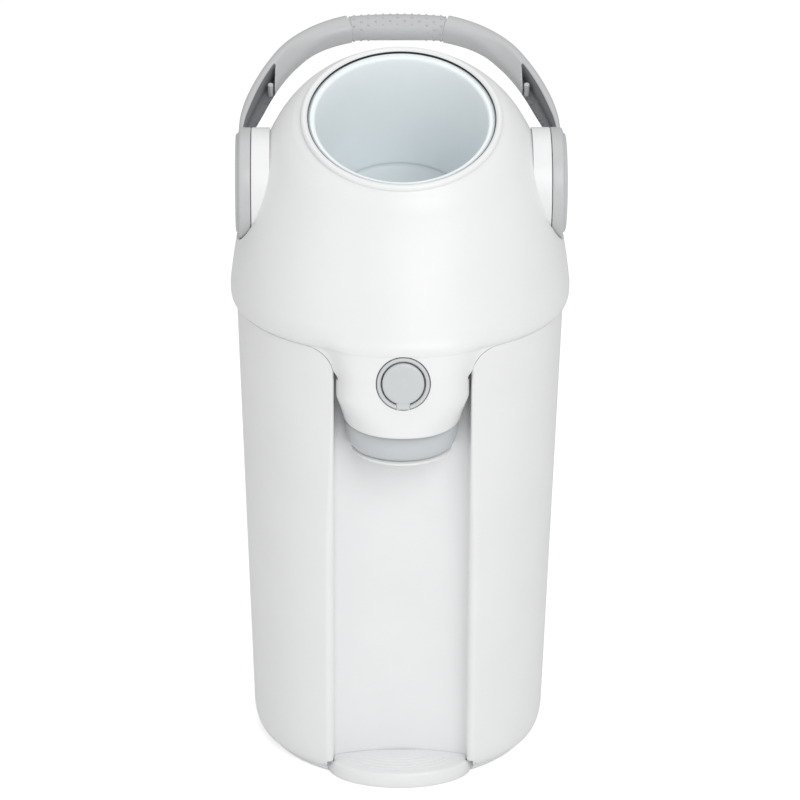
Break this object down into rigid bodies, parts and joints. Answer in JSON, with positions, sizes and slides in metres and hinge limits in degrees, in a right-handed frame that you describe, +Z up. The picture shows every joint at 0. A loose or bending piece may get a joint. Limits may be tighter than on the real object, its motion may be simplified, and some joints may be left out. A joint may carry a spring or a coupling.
{
  "type": "nappy bin",
  "caption": "Tall round bin for used nappies with a hinged dome lid, a ball valve turned over by its carrying handle, a free piston inside the ball and a push-button latch.",
  "frame": {"origin": "centre of the base, on the floor", "axes": "+Z up, -Y to the front, where the foot plate, tab and button are, +X to the object's left-hand side seen from its front as the viewer's right"},
  "size_m": [0.33, 0.3888, 0.7027],
  "materials": {
    "shell_white": "fine satin white polypropylene",
    "inner_white": "plain satin off-white plastic",
    "drum_white": "smooth semi-gloss plastic, very slightly blue",
    "handle_grey": "satin light grey polypropylene",
    "grip_grey": "soft satin light grey with small raised dots",
    "button_grey": "satin light grey, slightly lighter than the handle",
    "rubber": "matt dark grey elastomer",
    "steel": "zinc plated steel"
  },
  "bodies": {
    "bin": {"body_shell": "shell_white", "base_plate": "shell_white", "anti_slip_pads": "rubber", "foot_plate": "shell_white", "foot_plate_screws": "steel", "base_screws": "steel", "catch_housing": "handle_grey", "keeper_pin": "steel", "catch_screws": "steel", "body_hinge_bracket": "shell_white", "body_hinge_screws": "steel", "hinge_pin": "steel"},
    "lid": {"dome_shell": "shell_white", "lid_hinge_bracket": "shell_white", "lid_hinge_screws": "steel", "lid_gasket": "rubber", "upper_seal": "rubber", "lower_seal": "rubber", "ball_cradle": "inner_white", "cradle_screws": "steel", "left_bush": "inner_white", "right_bush": "inner_white", "button_bezel": "button_grey", "latch_bracket": "inner_white", "latch_pin": "steel"},
    "ball_and_handle": {"ball_left_half": "drum_white", "ball_right_half": "drum_white", "drum_tube": "drum_white", "left_trunnion": "inner_white", "right_trunnion": "inner_white", "trunnion_screws": "steel", "handle_bow": "handle_grey", "grip_sleeve": "grip_grey", "left_hub_cap": "handle_grey", "right_hub_cap": "handle_grey"},
    "piston": {"piston_skirt": "drum_white", "piston_top_cap": "drum_white", "piston_bottom_cap": "drum_white", "piston_rings": "rubber"},
    "button": {"release_button": "button_grey"},
    "latch": {"latch_lever": "handle_grey", "latch_spring": "steel"}
  },
  "joints": [
    {"name": "lid_hinge", "type": "hinge", "parent": "bin", "child": "lid", "pos_m": [0, 0.171, 0.453], "axis": [-1, 0, 0], "range_deg": [0, 95]},
    {"name": "handle_turn", "type": "hinge", "parent": "lid", "child": "ball_and_handle", "pos_m": [0, 0, 0.578], "axis": [1, 0, 0], "range_deg": [0, 180]},
    {"name": "piston_slide", "type": "slide", "parent": "ball_and_handle", "child": "piston", "axis": [0, -0.454, 0.891], "range_m": [0, 0.133]},
    {"name": "button_press", "type": "hinge", "parent": "lid", "child": "button", "pos_m": [0, -0.1748, 0.4151], "axis": [-1, 0, 0], "range_deg": [0, 6], "stiffness_Nm_per_rad": 0.5},
    {"name": "latch_turn", "type": "hinge", "parent": "lid", "child": "latch", "pos_m": [0, -0.146, 0.415], "axis": [-1, 0, 0], "range_deg": [0, 7.6]}
  ],
  "couplings": [
    {"joint": "latch_turn", "follows": "button_press", "ratio": 1.25}
  ]
}
